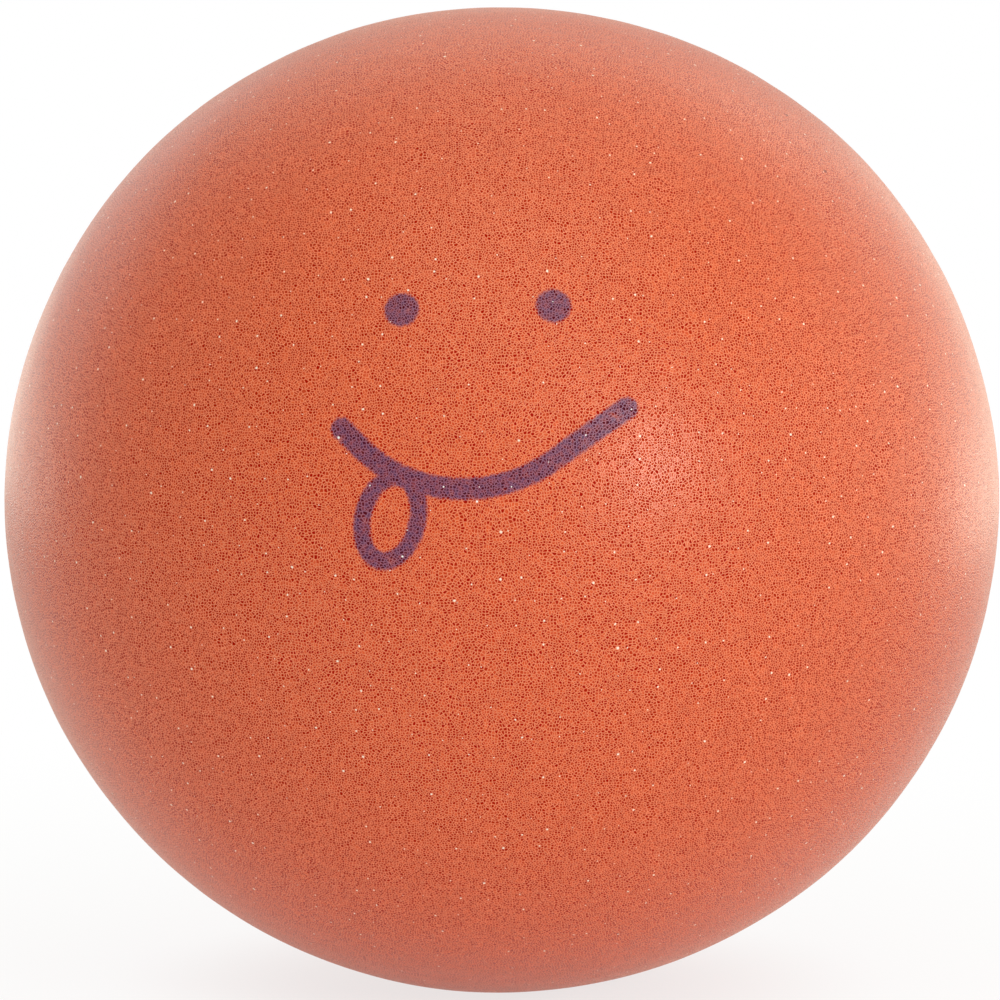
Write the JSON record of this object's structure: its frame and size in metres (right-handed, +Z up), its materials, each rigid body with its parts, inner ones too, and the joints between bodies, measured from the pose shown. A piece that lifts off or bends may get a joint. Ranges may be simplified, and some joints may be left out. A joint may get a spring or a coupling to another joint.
{
  "type": "foam dodgeball",
  "caption": "Round foam ball with a dense moulded skin over a light open-celled core, for throwing and catching, with a simple smiling face printed on its front.",
  "frame": {"origin": "centre of the ball", "axes": "+Z up, along the ball's slightly shorter axis; the printed face looks along -Y and a little upwards"},
  "size_m": [0.178, 0.178, 0.1764],
  "materials": {
    "skin_foam": "satin",
    "core_foam": "matte",
    "print_ink": "matte"
  },
  "bodies": {
    "root": {"foam_core": "core_foam", "skin": "skin_foam", "left_eye_print": "print_ink", "right_eye_print": "print_ink", "smile_print": "print_ink", "tongue_print": "print_ink"}
  },
  "joints": []
}
